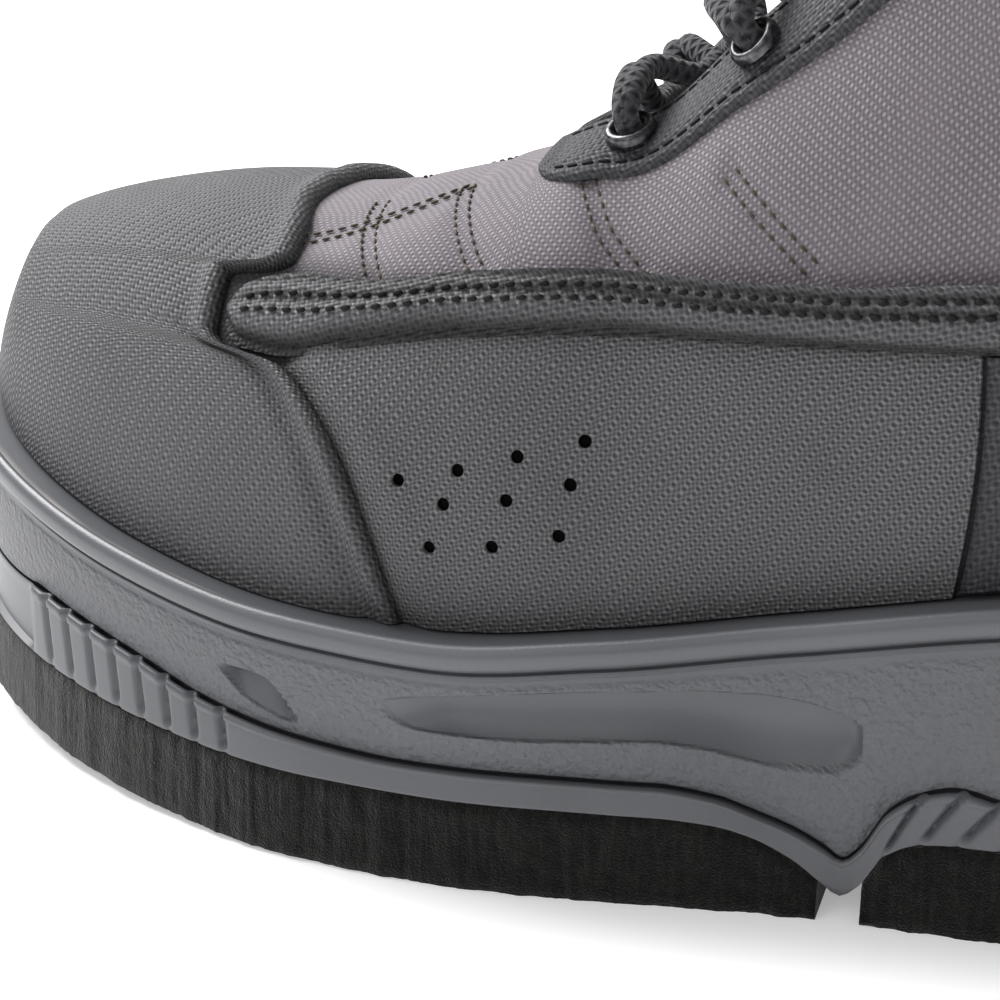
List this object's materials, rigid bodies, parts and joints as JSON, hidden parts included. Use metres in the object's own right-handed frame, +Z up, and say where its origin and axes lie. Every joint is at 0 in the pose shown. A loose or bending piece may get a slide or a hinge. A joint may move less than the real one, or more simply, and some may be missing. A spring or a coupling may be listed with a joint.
{
  "type": "wading boot",
  "caption": "Ankle-high lace-up wading boot with a woven upper, rubber toe cap, moulded midsole with side recesses, and a flat felt tread under heel and forefoot.",
  "frame": {"origin": "middle of the sole's outline, on the floor", "axes": "-X towards the toe, -Y towards the outer side of the foot, +Z up"},
  "size_m": [0.3016, 0.1126, 0.2243],
  "materials": {
    "canvas": "plain grey woven canvas",
    "rubberised_weave": "coated coarse weave, matt",
    "dark_weave": "coated coarse weave, dark",
    "tongue_canvas": "padded canvas",
    "insole_foam": "cloth-faced foam",
    "midsole_rubber": "moulded, leather-grained side",
    "outsole_rubber": "moulded, smooth",
    "felt": "dense needled felt",
    "eyelet_metal": "dark coated metal",
    "lace_cord": "round braided cord"
  },
  "bodies": {
    "root": {"upper": "canvas", "toe_cap": "rubberised_weave", "side_panel_outer": "rubberised_weave", "side_panel_inner": "rubberised_weave", "padded_strip": "rubberised_weave", "heel_counter": "dark_weave", "eyestay_outer": "dark_weave", "eyestay_inner": "dark_weave", "cuff": "dark_weave", "tongue": "tongue_canvas", "insole": "insole_foam", "midsole": "midsole_rubber", "outsole": "outsole_rubber", "felt_front": "felt", "felt_heel": "felt", "eyelet_outer_1": "eyelet_metal", "eyelet_outer_2": "eyelet_metal", "eyelet_outer_3": "eyelet_metal", "eyelet_outer_4": "eyelet_metal", "eyelet_outer_5": "eyelet_metal", "eyelet_outer_6": "eyelet_metal", "eyelet_inner_1": "eyelet_metal", "eyelet_inner_2": "eyelet_metal", "eyelet_inner_3": "eyelet_metal", "eyelet_inner_4": "eyelet_metal", "eyelet_inner_5": "eyelet_metal", "eyelet_inner_6": "eyelet_metal", "lace": "lace_cord"}
  },
  "joints": []
}
